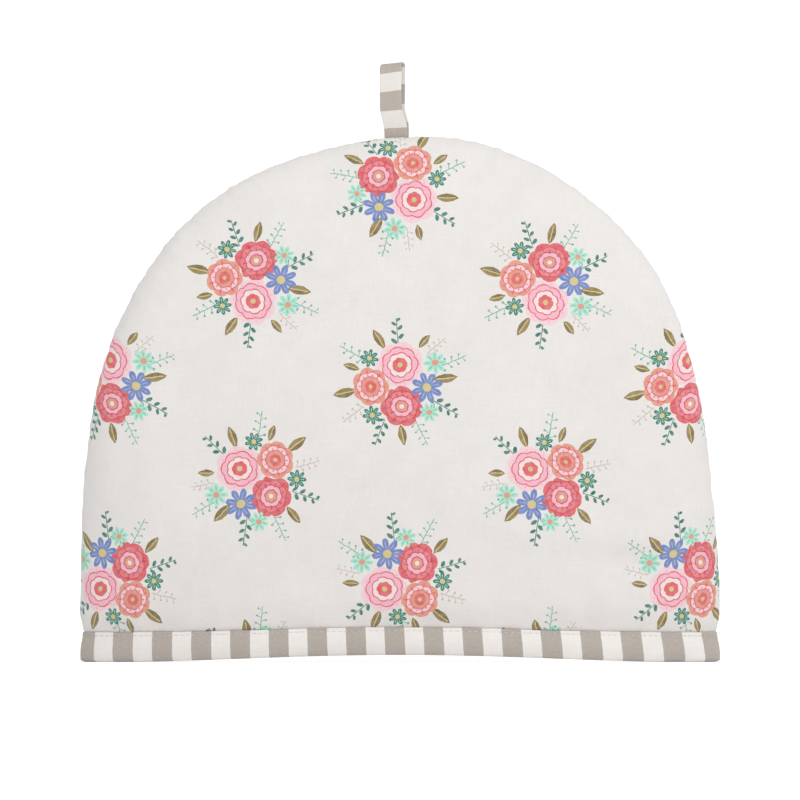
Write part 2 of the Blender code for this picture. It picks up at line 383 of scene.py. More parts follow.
def trough_depth(troughs, x, z):
    """Sum of the soft troughs at places on a wall."""
    total = np.zeros_like(x)
    for trough in troughs:
        turn = math.radians(trough.tilt)
        dx = x - trough.x
        dz = z - trough.z
        along = dx * math.cos(turn) + dz * math.sin(turn)
        across = dz * math.cos(turn) - dx * math.sin(turn)
        spread = (along / trough.half_length) ** 2 + (across / trough.half_width) ** 2
        total += trough.depth * np.exp(-spread)
    return total


def seam_opening(sizes, x, z):
    """Distance of a wall's seam face from the seam's plane: wider beside the loop's root."""
    across = 1.0 - ease((np.abs(x - sizes.loop_x) - sizes.loop_flat) / sizes.loop_fade)
    rise = sizes.loop_reach - sizes.seam_width - OPEN_MARGIN
    upwards = ease((z - sizes.height + sizes.loop_reach) / rise)
    spread = ROOT_CLOTHS * sizes.loop_cloth - sizes.seam_gap
    return sizes.seam_gap / 2.0 + spread * across * upwards


def settled(sizes, x, y, z):
    """Places in the standing cosy: crown tilted, middle of the hem lifted, left end tucked."""
    across = x / sizes.half_width
    upwards = z / sizes.height
    tilt = sizes.crown_tilt * across * np.maximum(1.0 - across**2, 0.0) ** 3 * upwards**3
    arch = np.maximum(1.0 - (x / sizes.arch_half) ** 2, 0.0) ** 2
    arch = sizes.hem_arch * arch * np.maximum(1.0 - upwards, 0.0) ** 2
    tuck = sizes.left_tuck * ease(-across) * np.maximum(1.0 - upwards, 0.0) ** 6
    return places(x + tuck, y, z + tilt + arch)


def wall_places(sizes, skin):
    """Face-on places (x, z) of a skin's grid: four edge curves blended together."""
    u, v = np.meshgrid(cosine_steps(WALL_COLUMNS), cosine_steps(WALL_ROWS))
    side = 2.0 * u - 1.0
    hem_z = sizes.binding_cloth + sizes.binding_gap
    corner_z = skin.height * math.sqrt(0.5) ** (2.0 / sizes.side_power)
    corner_x = half_width(sizes, skin, corner_z)
    hem_x = half_width(sizes, skin, hem_z)
    side_z = hem_z + (corner_z - hem_z) * v
    side_x = half_width(sizes, skin, side_z)
    crown_x = corner_x * side
    crown_z = skin.height * (1.0 - (crown_x / skin.half_width) ** 2) ** (1.0 / sizes.side_power)
    straight_x = side * (hem_x + (corner_x - hem_x) * v)
    x = (1.0 - v) * hem_x * side + v * crown_x + side * side_x - straight_x
    z = (1.0 - v) * hem_z + v * crown_z
    return x, z


def outward(points):
    """Unit directions square to a grid of points, away from the middle of the cosy."""
    across = np.gradient(points, axis=1)
    upwards = np.gradient(points, axis=0)
    square = unit(np.cross(across, upwards))
    away = points - np.array((0.0, 0.0, 0.5 * points[..., 2].max()))
    turned = np.sum(square * away) < 0.0
    return -square if turned else square


def filled_out(sizes, x, z):
    """Extra width of the sewn outline at places on a wall, from the table of bulges."""
    total = np.zeros_like(x)
    for bulge in BULGES:
        side = ease(bulge.side * x / BULGE_EASE)
        total += bulge.out * side * np.exp(-(((z - bulge.z) / bulge.half_height) ** 2))
    return total


def outer_face(sizes, relief, wall):
    """Points of a wall's outer face, with the seam drawn in and the padding uneven."""
    outer = skins_of(sizes)[0]
    x, z = wall_places(sizes, outer)
    reach = depth(sizes, outer, x, z)
    free = free_of_binding(sizes, z)
    inner_part = ease(reach / (2.0 * sizes.wall))
    deep = reach - inner_part * free * trough_depth(wall.troughs, -wall.facing * x, z)
    points = settled(sizes, x, wall.facing * (deep + seam_opening(sizes, x, z)), z)
    # swells, lumps and creases of the padding
    swell = uneven(x / relief.broad_span, z / relief.broad_span, wall.seed)
    lump = uneven(x / relief.lump_span, z / relief.lump_span, wall.seed + 5.0)
    crease = uneven(x / relief.fine_span, z / (0.7 * relief.fine_span), wall.seed + 9.0)
    push = inner_part * free * (relief.broad * swell + relief.lump * lump + relief.fine * crease)
    # the wall swells above the binding, in dimples that die out above it
    above = np.maximum(z - binding_top(sizes, x), 0.0)
    start = ease(above / relief.puff_start)
    dimple = uneven(x / relief.hem_span, above / (4.0 * relief.hem_fade), wall.seed + 17.0)
    dimple += 0.5 * uneven(x / (0.45 * relief.hem_span), above / relief.hem_fade, wall.seed + 19.0)
    push += start * np.exp(-above / relief.hem_fade) * relief.hem_dimple * dimple
    shoulder = np.sqrt(1.0 - (1.0 - np.minimum(above / relief.puff_rise, 1.0)) ** 2)
    shoulder *= np.exp(-np.maximum(above - relief.puff_rise, 0.0) / relief.puff_fade)
    at_side = np.exp(-reach / SEAM_FADE)
    push += relief.hem_puff * shoulder * (1.0 - PUFF_LOST * at_side)
    # puckers run in from the seam and die out quickly
    turn = np.arctan2((z / sizes.height) ** (sizes.side_power / 2.0), x / sizes.half_width)
    along = turn * SEAM_RADIUS
    inwards = inside_outline(sizes, outer, x, z) * sizes.half_width / 2.0
    pucker = uneven(along / relief.seam_span, inwards / (3.0 * relief.seam_fade), wall.seed + 29.0)
    started = ease(above / PUCKER_HEIGHT)
    fade = np.exp(-inwards / relief.seam_fade) * ease(reach / PUCKER_DEPTH) * started
    push += relief.seam_pucker * fade * pucker
    # the stitched seam draws the cloth in, and strays a little
    wander = uneven(along / STRAY_SLOW, np.zeros_like(along), 7.7)
    wander += 0.5 * uneven(along / STRAY_QUICK, np.zeros_like(along), 13.3)
    push += started * at_side * (relief.seam_wander * wander + filled_out(sizes, x, z))
    push -= started * sizes.groove * np.exp(-((reach / sizes.lip) ** 2))
    return points + outward(points) * push[..., None]


def inner_face(sizes, relief, wall):
    """Points of a wall's plain inner face."""
    inner = skins_of(sizes)[1]
    x, z = wall_places(sizes, inner)
    reach = depth(sizes, inner, x, z)
    held = ease(reach / (2.0 * sizes.wall)) * free_of_binding(sizes, z)
    swell = uneven(x / relief.broad_span, z / relief.broad_span, wall.seed + 5.0)
    deep = reach - held * trough_depth(wall.troughs, -wall.facing * x, z)
    deep += held * SWELL_INSIDE * relief.broad * swell
    return settled(sizes, x, wall.facing * (deep + seam_opening(sizes, x, z)), z)


def flattened(sizes, skin, points):
    """Cloth places in metres: the face-on place, pushed outwards by what the depth adds."""
    x, z = wall_places(sizes, skin)
    plan = settled(sizes, x, np.zeros_like(x), z)[..., (0, 2)]
    flat = plan.copy()
    for axis, start in ((1, points.shape[1] // 2), (0, 0)):
        step = np.diff(plan, axis=axis)
        run = np.linalg.norm(step, axis=-1)
        extra = np.linalg.norm(np.diff(points, axis=axis), axis=-1) - run
        total = np.cumsum(extra, axis=axis)
        total = np.concatenate((np.zeros_like(np.take(total, [0], axis)), total), axis=axis)
        total -= np.take(total, [start], axis)
        flat += total[..., None] * unit(np.gradient(plan, axis=axis), 1e-9)
    return flat


# ---------------------------------------------------------------- meshes


def grid_faces(rows, columns, first=0):
    """Corner numbers of a grid's faces, point by point along each row."""
    corner = first + np.arange(rows * (columns + 1)).reshape(rows, columns + 1)[:, :-1]
    corner = corner.ravel()
    return np.stack((corner, corner + 1, corner + columns + 2, corner + columns + 1), axis=1)


def rim_order(rows, columns):
    """Point numbers round a grid's edge: hem, right side, crown, left side."""
    index = np.arange((rows + 1) * (columns + 1)).reshape(rows + 1, columns + 1)
    return np.concatenate((index[0, :-1], index[:-1, -1], index[-1, :0:-1], index[:0:-1, 0]))


def new_piece(name, points, faces, uvs=None):
    """A smooth mesh object, with a UV map of cloth places in metres where they are given."""
    mesh = bpy.data.meshes.new(name)
    mesh.from_pydata(points.tolist(), [], [tuple(face) for face in faces])
    if uvs is not None:
        layer = mesh.uv_layers.new(name="cloth")
        layer.data.foreach_set("uv", np.asarray(uvs, dtype=np.float32).ravel())
    mesh.update()
    mesh.shade_smooth()
    piece = bpy.data.objects.new(name, mesh)
    bpy.context.scene.collection.objects.link(piece)
    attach(piece, "root")
    return piece


def finished(piece):
    """Closes a piece's open ends, where it has any, and turns all its faces outwards."""
    shape = bmesh.new()
    shape.from_mesh(piece.data)
    bmesh.ops.holes_fill(shape, edges=[edge for edge in shape.edges if edge.is_boundary])
    bmesh.ops.recalc_face_normals(shape, faces=shape.faces)
    shape.to_mesh(piece.data)
    shape.free()
    piece.data.shade_smooth()
    return piece


def padded_wall(sizes, relief, wall):
    """A closed padded wall: printed outer face, plain inner face and seam edge."""
    sides = outer_face(sizes, relief, wall), inner_face(sizes, relief, wall)
    flat = [flattened(sizes, skin, side) for skin, side in zip(skins_of(sizes), sides)]
    cloth = np.concatenate(flat).reshape(-1, 2)
    points = np.concatenate(sides).reshape(-1, 3)
    count = (WALL_ROWS + 1) * (WALL_COLUMNS + 1)
    skin = grid_faces(WALL_ROWS, WALL_COLUMNS)
    rim = rim_order(WALL_ROWS, WALL_COLUMNS)
    after = np.roll(rim, -1)
    edge = np.stack((rim, after, after + count, rim + count), axis=1)
    faces = np.concatenate((skin, skin + count, edge))
    # the back wall's print is mirrored, so that it reads the right way from behind
    cloth[:, 0] *= -wall.facing
    cloth += wall.cut
    piece = new_piece(wall.name, points, faces, cloth[faces.ravel()])
    piece.data.polygons.foreach_set(
        "material_index", np.repeat((0, 1, 0), (len(skin), len(skin), len(edge))).astype(np.int32)
    )
    return finished(piece)


def swept_strip(name, rings, along, across, closed):
    """A closed solid strip: rings of section points, joined along the strip.

    rings is an array of ring, section point, place. along and across are the cloth
    places of the rings and of the section points, each with one entry more than the
    gaps between them. A closed strip joins its last ring to its first.
    """
    count, section = rings.shape[:2]
    spans = count if closed else count - 1
    r = np.repeat(np.arange(spans), section)
    s = np.tile(np.arange(section), spans)
    corner_r = places(r, r, r + 1, r + 1)
    corner_s = places(s, s + 1, s + 1, s)
    faces = corner_r % count * section + corner_s % section
    uvs = places(along[corner_r], across[corner_s])
    return finished(new_piece(name, rings.reshape(-1, 3), faces, uvs))


def running_length(points, closed=False):
    """Length along a row of points, 0 at the first."""
    if closed:
        points = np.concatenate((points, points[:1]))
    steps = np.linalg.norm(np.diff(points, axis=0), axis=-1)
    return np.concatenate(([0.0], np.cumsum(steps)))


# ---------------------------------------------------------------- binding and loop


def hem_places(sizes, skin, angle, z):
    """Plan places of a skin at angles round the hem: 0 is the right-hand seam."""
    x = half_width(sizes, skin, z) * np.cos(angle)
    facing = np.where(np.sin(angle) >= 0.0, -1.0, 1.0)
    return places(x, facing * depth(sizes, skin, x, np.full_like(x, z)))


def hem_angles(count=HEM_STEPS):
    """Angles once round the hem. The strip's ends meet in the middle of the back."""
    return 2.0 * np.pi * np.arange(count) / count - 0.5 * np.pi


def hem_ring(sizes, angle, outside, off, z, rise=0.0):
    """Points round the hem at an offset from the wall's outer or inner face.

    off is measured away from the wall. rise lifts the points without moving them in plan.
    """
    outer_skin, inner_skin = skins_of(sizes)
    level = max(z, sizes.binding_cloth + sizes.binding_gap)
    plan = hem_places(sizes, outer_skin if outside else inner_skin, angle, level)
    # square to the outline at the binding's top edge
    ahead, behind = (
        hem_places(sizes, outer_skin, angle + step, sizes.binding_height)
        for step in (ANGLE_STEP, -ANGLE_STEP)
    )
    outwards = unit((ahead - behind)[:, ::-1] * (-1.0, 1.0))
    off = np.asarray(off)[..., None] if np.ndim(off) else off
    plan = plan + outwards * off * (1.0 if outside else -1.0)
    stretch = binding_top(sizes, plan[:, 0]) / sizes.binding_height
    return settled(sizes, plan[:, 0], plan[:, 1], z * stretch + rise)


# Points of one leg of the binding: up the side that lies on the wall, over the folded top
# edge, and down the side that shows to the fold under the hem. off is in thicknesses of the
# cloth from the wall's side; drop is below the top edge and up is above the table, both in
# metres, and only one of them is given.
LegPoint = namedtuple("LegPoint", "off drop up", defaults=(None, None))
BINDING_LEG = (
    LegPoint(0.00, up=0.0012),
    LegPoint(0.00, up=0.0035),
    LegPoint(0.00, up=0.0060),
    LegPoint(0.00, drop=0.0068),
    LegPoint(0.00, drop=0.0040),
    LegPoint(0.00, drop=0.0006),
    LegPoint(0.18, drop=0.0001),
    LegPoint(0.55, drop=-0.0001),
    LegPoint(0.95, drop=0.0001),
    LegPoint(1.12, drop=0.0006),
    LegPoint(1.08, drop=0.0012),
    LegPoint(0.84, drop=0.0018),
    LegPoint(1.02, drop=0.0025),
    LegPoint(1.22, drop=0.0040),
    LegPoint(1.34, drop=0.0065),
    LegPoint(1.30, drop=0.0090),
    LegPoint(1.18, up=0.0034),
    LegPoint(1.00, up=0.0022),
    LegPoint(0.72, up=0.0011),
    LegPoint(0.22, up=0.0004),
    LegPoint(-0.55, up=0.00005),
)
# Half the angle between the two places that give the direction round the hem
ANGLE_STEP = 0.004
# Below the top edge, the binding's uneven edge dies out in this height
EDGE_FADE = 0.009
# The binding's outer side stands off the wall by more than this many thicknesses
OUTER_OFF = 0.5
# Round the side seams: how square the fold under the hem is, and its thicknesses of cloth
# there; then how much tighter the top edge is pulled, and the height in which that fades
FOLD_SQUARE = 0.6
FOLD_CLOTHS = 1.2
EDGE_PULL = 0.4
EDGE_PULL_FADE = 0.006
# Share of the binding's height over which its lower edge flares out at the ends
FLARE_SHARE = 0.6
# How quickly the edge wavers and ripples round the hem
WAVER_RATE = 5.5
RIPPLE_RATE = 22.0

# In stripes: how far they crowd towards the middles of the walls, how far they drift
# towards one side, how far they shift in three waves round the hem, and where the first
# one starts
STRIPE_EASE = 0.251
STRIPE_DRIFT = -0.109
STRIPE_PULL = -0.060
STRIPE_START = 0.228
# Pairs of stripes that go once round the hem
STRIPE_PAIRS = 33
# Painted shade: how much darker the colour is painted just above the hem, for the light
# that falls off there, and the heights in metres between which that fades
HEM_PAINTED_SHADE = 0.004
HEM_SHADE_HEIGHTS = (0.015, 0.14)
# Place of the folded top edge in the list of points of a leg
LEG_TOP = 7


def hem_binding(sizes, relief, pattern):
    """The striped strip wrapped round the hem, one closed ring with a U section."""
    angle = hem_angles()
    cosine, sine = np.cos(angle), np.sin(angle)
    turned = cosine**6
    rings = []
    for outside, leg, seed in ((True, BINDING_LEG, 11.0), (False, BINDING_LEG[::-1], 23.0)):
        waver = uneven(WAVER_RATE * cosine, WAVER_RATE * sine, seed)
        ripple = uneven(RIPPLE_RATE * cosine, RIPPLE_RATE * sine, seed)
        for point in leg:
            z = point.up if point.drop is None else sizes.binding_height - point.drop
            high = 0.0 if point.drop is None else 1.0 - min(point.drop / EDGE_FADE, 1.0)
            bulge = relief.hem_wander * ripple * (1.0 if 0.6 < point.off else 0.0)
            thick = point.off * sizes.binding_cloth
            if outside and point.drop is None and point.off > 0.0:
                # squarer where it turns round the side seams
                thick = thick + FOLD_SQUARE * turned * (FOLD_CLOTHS * sizes.binding_cloth - thick)
            if point.drop is not None and point.off > OUTER_OFF:
                # pulled tighter to the wall where it turns round the side seams
                near_edge = max(1.0 - point.drop / EDGE_PULL_FADE, 0.0)
                thick = thick * (1.0 - EDGE_PULL * near_edge * turned)
            if outside and point.off > OUTER_OFF:
                low = 1.0 - min(z / (FLARE_SHARE * sizes.binding_height), 1.0)
                thick = thick + sizes.end_flare * turned * math.sqrt(low)
            off = sizes.binding_gap + thick + 0.6 * bulge
            rise = relief.hem_wander * (1.2 * waver + 0.5 * ripple) * high
            rings.append(hem_ring(sizes, angle, outside, off, z, rise))
    rings = np.stack(rings, axis=1)
    along = running_length(rings[:, LEG_TOP + 2], closed=True)
    across = running_length(rings[0], closed=True)
    # a whole number of stripes goes round, a little wider where the strip is eased
    # round the side seams
    share = (along - along[HEM_STEPS // 2]) / along[-1]
    stripes = round(along[-1] / pattern.stripe)
    around = 2.0 * np.pi * share
    count = stripes * share + STRIPE_EASE * np.sin(2.0 * around) + STRIPE_DRIFT * np.cos(around)
    count = count + STRIPE_PULL * np.sin(3.0 * around)
    along = (count + STRIPE_START) * pattern.stripe
    across -= across[LEG_TOP]
    piece = swept_strip("hem_strip", rings, along, across, closed=True)
    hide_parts("hem_binding")
    return piece


def loop_path(sizes):
    """Middle line of the folded strip from its front root over the fold to its back root."""
    root_y = sizes.loop_cloth / 2.0 + sizes.seam_gap / 2.0
    root_z = sizes.height - sizes.loop_root
    bend_z = sizes.height + sizes.loop_rise - sizes.loop_bend - sizes.loop_cloth / 2.0
    leg = bend_z - root_z
    rise = leg * np.arange(LOOP_LEG_STEPS) / LOOP_LEG_STEPS
    spread = ease((rise - sizes.loop_root) / (0.45 * leg))
    front = places(-root_y - (sizes.loop_bend - root_y) * spread, root_z + rise)
    turn = np.pi * np.arange(LOOP_BEND_STEPS + 1) / LOOP_BEND_STEPS
    bend = places(-np.cos(turn), np.sin(turn)) * sizes.loop_bend
    bend[:, 1] += bend_z
    back = front[::-1] * (-1.0, 1.0)
    y, z = np.concatenate((front, bend, back)).T
    height = (z - root_z) / (leg + sizes.loop_bend)
    shift = sizes.loop_shift * ease(0.5 + 0.5 * y / sizes.loop_bend) * ease(height / 0.4)
    shown = (z - sizes.height) / sizes.loop_rise
    return places(sizes.loop_x + sizes.loop_lean * ease(shown / 0.45) + shift, y, z)


def hanging_loop(sizes, relief, pattern):
    """The folded striped strip whose ends are caught in the crown seam."""
    path = loop_path(sizes)
    direction = unit(np.gradient(path[:, 1:], axis=0))
    across = places(np.zeros(len(path)), -direction[:, 1], direction[:, 0])
    turn = 2.0 * np.pi * np.arange(24) / 24
    # a flat oval section, its faces a little hollow between the folded edges
    wide = np.sign(np.cos(turn)) * np.abs(np.cos(turn)) ** 0.25
    thick = np.sign(np.sin(turn)) * np.abs(np.sin(turn)) ** 0.55
    thick *= 1.0 - 0.22 * (1.0 - wide**2)
    waver = uneven(np.arange(len(path)) / 9.0, np.full(len(path), 0.3), 5.0)
    # narrower towards the fold
    shown = ease((path[:, 2] - sizes.height) / (0.5 * sizes.loop_rise))
    width = 1.06 - 0.09 * shown + 0.02 * waver
    rings = path[:, None, :] + across[:, None, :] * (thick * sizes.loop_cloth / 2.0)[None, :, None]
    rings[..., 0] += wide[None, :] * width[:, None] * sizes.loop_width / 2.0
    rings[..., 0] += 0.0004 * waver[:, None]
    # the fold isn't quite square to the strip
    rise = ease((path[:, 2] - sizes.height) / sizes.loop_rise)[:, None]
    rings[..., 2] += sizes.loop_tilt * rise * (rings[..., 0] - path[:, None, 0])
    along = running_length(path)
    along -= along[len(path) // 2]
    place = running_length(rings[0], closed=True)
    piece = swept_strip("loop_strip", rings, along, place, closed=False)
    # the strip's stripes run across it, so its cloth map is its length and its own width
    layer = piece.data.uv_layers["cloth"]
    flat = []
    for polygon in piece.data.polygons:
        for corner in polygon.loop_indices:
            point = piece.data.vertices[piece.data.loops[corner].vertex_index]
            flat.append((layer.data[corner].uv[0], point.co.x - sizes.loop_x))
    layer.data.foreach_set("uv", np.array(flat, dtype=np.float32).ravel())
    round(float(running_length(path)[-1]), 4)
    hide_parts("hanging_loop")
    return piece


# The stitches' line: its steps round the hem, its drop below the binding's top edge, and how
# far off it lies in thicknesses of the cloth. Then the length, gap and radius of a stitch.
STITCH_STEPS = 1200
STITCH_DROP = 0.0018
STITCH_OFF = 0.86
STITCH = 0.0026
STITCH_GAP = 0.0007
THREAD_RADIUS = 0.00016


def stitch_row(name, points, outwards, stitch, gap, radius):
    """Machine stitches along a line of points, each a slim arched thread."""
    bpy.ops.object.select_all(action="DESELECT")
    bpy.ops.mesh.primitive_uv_sphere_add(segments=8, ring_count=8, radius=1.0)
    model = bpy.context.object
    shape = np.array([vertex.co for vertex in model.data.vertices])
    # sorted, because the sphere's faces come in another order each time
    faces = sorted(tuple(polygon.vertices) for polygon in model.data.polygons)
    bpy.data.objects.remove(model)
    # long along the first axis, sunk into the cloth at both ends
    shape = shape[:, (2, 0, 1)] * (stitch / 2.0, radius, radius)
    shape[:, 2] -= 1.4 * radius * (2.0 * shape[:, 0] / stitch) ** 4
    run = running_length(points)
    starts = np.arange(gap, run[-1] - stitch, stitch + gap) + stitch / 2.0

    def between(where, values):
        return places(*(np.interp(where, run, axis) for axis in values.T))

    middle = between(starts, points)
    ahead = between(starts + 0.0005, points)
    out = between(starts, outwards)
    along = unit(ahead - middle)
    out = unit(out - along * np.sum(out * along, axis=-1, keepdims=True))
    axes = np.stack((along, np.cross(out, along), out), axis=1)
    placed = middle[:, None, :] + np.einsum("vk,skd->svd", shape, axes)
    firsts = range(0, len(starts) * len(shape), len(shape))
    all_faces = [tuple(first + corner for corner in face) for first in firsts for face in faces]
    piece = new_piece(name, placed.reshape(-1, 3), all_faces)
    return piece


def hem_stitches(sizes):
    """The row of machine stitches that holds the binding, on both outer faces."""
    angle = np.linspace(-0.5 * np.pi, 1.5 * np.pi, STITCH_STEPS + 1)
    z = sizes.binding_height - STITCH_DROP
    base = sizes.binding_gap + STITCH_OFF * sizes.binding_cloth
    line = hem_ring(sizes, angle, True, base, z)
    outwards = hem_ring(sizes, angle, True, base + 0.001, z) - line
    return stitch_row("hem_stitches", line, outwards, STITCH, STITCH_GAP, THREAD_RADIUS)


# ---------------------------------------------------------------- materials


class Tree:
    """Short ways of adding linked nodes to one node tree."""

    def __init__(self, tree):
        self.tree = tree

    def add(self, kind, inputs=None, **settings):
        """A node with its settings; inputs are values or sockets, by place or name."""
        node = self.tree.nodes.new(kind)
        for key, value in settings.items():
            setattr(node, key, value)
        self.fill(node, inputs or {})
        return node

    def fill(self, node, inputs):
        """Sets or links inputs of a node."""
        for key, value in inputs.items():
            if isinstance(value, bpy.types.NodeSocket):
                self.tree.links.new(value, node.inputs[key])
            else:
                node.inputs[key].default_value = value

    def maths(self, operation, *values):
        """A number worked out from numbers or sockets."""
        inputs = dict(enumerate(values))
        return self.add("ShaderNodeMath", inputs, operation=operation).outputs[0]

    def plus(self, *values):
        """The sum of two numbers."""
        return self.maths("ADD", *values)

    def times(self, *values):
        """The product of two numbers."""
        return self.maths("MULTIPLY", *values)

    def scaled(self, value, factor, shift):
        """A number times a factor, plus a shift."""
        return self.maths("MULTIPLY_ADD", value, factor, shift)

    def below(self, value, limit):
        """1 where a value is under a limit."""
        return self.maths("LESS_THAN", value, limit)

    def inside(self, place, reach=1.0):
        """1 where a place is nearer to its zero than the reach."""
        return self.below(self.length(place), reach)

    def ramp(self, value, start, end, low=0.0, high=1.0):
        """From low to high as a value goes from start to end, and level beyond."""
        inputs = {0: value, 1: start, 2: end, 3: low, 4: high}
        return self.add("ShaderNodeMapRange", inputs).outputs[0]

    def vector(self, operation, *values):
        """A vector worked out from vectors."""
        inputs = dict(enumerate(values))
        return self.add("ShaderNodeVectorMath", inputs, operation=operation).outputs["Vector"]

    def length(self, vector):
        """The length of a vector."""
        node = self.add("ShaderNodeVectorMath", {0: vector}, operation="LENGTH")
        return node.outputs["Value"]

    def parts(self, vector, count=2):
        """The first numbers of a vector."""
        return tuple(self.add("ShaderNodeSeparateXYZ", {0: vector}).outputs)[:count]

    def joined(self, x, y):
        """A vector of two numbers."""
        return self.add("ShaderNodeCombineXYZ", {0: x, 1: y}).outputs[0]

    def mixed(self, factor, low, high):
        """One colour over another by a factor."""
        inputs = {0: factor, 6: low, 7: high}
        return self.add("ShaderNodeMix", inputs, data_type="RGBA").outputs[2]

    def placed(self, vector, x, y, turn, size_x, size_y=None):
        """The same place measured from a motif's middle, turned and in its own size."""
        inputs = {
            0: vector,
            1: (x, y, 0.0),
            2: (0.0, 0.0, math.radians(turn)),
            3: (size_x, size_y or size_x, 1.0),
        }
        return self.add("ShaderNodeMapping", inputs, vector_type="TEXTURE").outputs[0]

    def noise(self, vector, scale, detail=2.0, roughness=0.5):
        """Noise from 0 to 1, as a number and as a colour."""
        inputs = {"Vector": vector, "Scale": scale, "Detail": detail, "Roughness": roughness}
        node = self.add("ShaderNodeTexNoise", inputs)
        return node.outputs[0], node.outputs[1]


def weave(tree, place, yarn):
    """Height of a plain weave from 0 to 1, its yarns uneven in thickness."""
    wobble = tree.noise(place, 0.12 / yarn, 1.0)[1]
    wobble = tree.vector("SUBTRACT", wobble, (0.5, 0.5, 0.5))
    wobble = tree.vector("SCALE", wobble)
    wobble.node.inputs["Scale"].default_value = 0.55 * yarn
    u, v = tree.parts(tree.vector("ADD", place, wobble))
    warp = tree.maths("SINE", tree.times(u, math.pi / yarn))
    weft = tree.maths("SINE", tree.times(v, math.pi / yarn))
    crossing = tree.times(warp, weft)
    return tree.scaled(crossing, 0.5, 0.5)


def slubs(tree, place):
    """Thicker stretches of yarn along both directions, from 0 to 1."""
    along = tree.noise(tree.vector("MULTIPLY", place, (90.0, 1500.0, 1.0)), 1.0, 2.0)[0]
    up = tree.noise(tree.vector("MULTIPLY", place, (1500.0, 90.0, 1.0)), 1.0, 2.0)[0]
    return tree.scaled(tree.plus(along, up), 0.5, 0.0)


def new_material(name):
    """A material with its node tree and its shader."""
    material = bpy.data.materials.new(name)
    material.use_nodes = True
    return material, Tree(material.node_tree), material.node_tree.nodes["Principled BSDF"]


def object_place(tree):
    """Places in metres from the object's own zero."""
    return tree.add("ShaderNodeTexCoord").outputs["Object"]


def cotton(name, colour_of, pattern, hem_painted_shade=0.0):
    """Matt woven cotton: colour_of(tree, place) gives its dyed colour.

    hem_painted_shade is how much darker the colour is painted towards the hem, as painted shade.
    """
    material, tree, shader = new_material(name)
    place = tree.add("ShaderNodeUVMap", uv_map="cloth").outputs[0]
    colour = colour_of(tree, place)
    height = weave(tree, place, pattern.yarn)
    slub = slubs(tree, place)
    # yarn valleys are darker as painted shade; thin stretches are darker, thick stretches lighter
    light = tree.scaled(height, 0.07, 0.955)
    soft = tree.noise(place, 22.0, 3.0)[0]
    blotch = tree.noise(place, 75.0, 2.0)[0]
    for part, amount in ((slub, 0.20), (soft, 0.08), (blotch, 0.07)):
        light = tree.plus(light, tree.scaled(part, amount, -amount / 2.0))
    # painted shade: the colour is darkened towards the hem, for the light falling off there
    if hem_painted_shade:
        up = tree.parts(object_place(tree), 3)[2]
        light = tree.plus(light, tree.ramp(up, *HEM_SHADE_HEIGHTS, -hem_painted_shade, 0.0))
    shaded = tree.add("ShaderNodeHueSaturation", {"Color": colour, "Value": light}).outputs[0]
    bump = {"Strength": 0.35, "Distance": 0.00016, "Height": tree.scaled(slub, 0.9, height)}
    looks = {
        "Base Color": shaded,
        "Normal": tree.add("ShaderNodeBump", bump).outputs[0],
        "Roughness": 0.88,
        "Specular IOR Level": 0.22,
        "Sheen Weight": 0.18,
        "Sheen Roughness": 0.55,
    }
    tree.fill(shader, looks)
    return material


def plain(colour):
    """Colour function of plain dyed cloth."""

    def colour_of(tree, place):
        socket = tree.add("ShaderNodeRGB").outputs[0]
        socket.default_value = (*colour, 1.0)
        return socket

    return colour_of


def striped(colours, pattern, white, pitch, phase, lean, sway=0.0):
    """Colour function of cloth striped across the first cloth direction.

    phase is in metres. lean is the stripes' slope, and sway is how much it changes in
    waves round the hem.
    """

    def colour_of(tree, place):
        wobble = tree.noise(place, 260.0, 2.0)[0]
        u, v = tree.parts(place)
        slope = lean
        if sway:
            turn = tree.maths("SINE", tree.times(u, 2.0 * math.pi / (STRIPE_PAIRS * pitch)))
            slope = tree.scaled(turn, -sway, lean)
        along = tree.scaled(v, slope, u)
        along = tree.plus(along, tree.scaled(wobble, 0.0006, phase - 0.0003))
        turn = tree.maths("FRACT", tree.maths("DIVIDE", along, pitch))
        grey = tree.below(turn, pattern.stripe_share)
        fleck = tree.noise(tree.vector("MULTIPLY", place, (2600.0, 700.0, 1.0)), 1.0, 2.0)[0]
        bleached = (*white, 1.0)
        faded = tree.scaled(fleck, 0.5, -0.12)
        faded = tree.mixed(faded, (*colours.stripe_grey, 1.0), bleached)
        return tree.mixed(grey, bleached, faded)

    return colour_of


# ---------------------------------------------------------------- the posy print

# A motif's place in the posy, in millimetres from its middle. turn is in degrees. long
# and wide are half sizes along and across the turn.
Spot = namedtuple("Spot", "x y turn long wide ink")
ROSETTES = (
    Spot(-8.0, -5.5, 0, 13.0, 12.4, "pink"),
    Spot(9.5, 8.5, 110, 11.6, 11.0, "coral"),
    Spot(11.0, -11.0, 230, 10.4, 9.8, "salmon"),
)
DAISIES = (
    Spot(-6.5, 13.5, 10, 8.6, 8.6, "blue"),
    Spot(-20.0, 9.0, 40, 6.2, 6.2, "mint"),
    Spot(3.6, 22.4, 15, 5.4, 5.4, "mint"),
    Spot(23.0, -1.2, 0, 5.2, 5.2, "teal"),
    Spot(-1.0, -20.5, 25, 5.0, 5.0, "teal"),
)
LEAVES = (
    Spot(-16.5, 18.5, 132, 6.6, 2.5, "olive"),
    Spot(22.0, -20.0, -40, 6.6, 2.5, "olive"),
    Spot(-12.5, -22.5, -112, 6.2, 2.3, "olive"),
    Spot(22.0, 18.0, 48, 5.8, 2.2, "olive"),
    Spot(-26.0, -2.5, 176, 4.6, 1.9, "olive"),
    Spot(8.5, -25.5, -72, 4.6, 1.9, "olive"),
)
FRONDS = (
    Spot(-3.5, 28.0, 96, 8.6, 4.6, "teal"),
    Spot(28.0, 7.5, 16, 8.2, 4.4, "teal"),
    Spot(-21.5, -17.0, 221, 8.6, 4.6, "teal"),
)
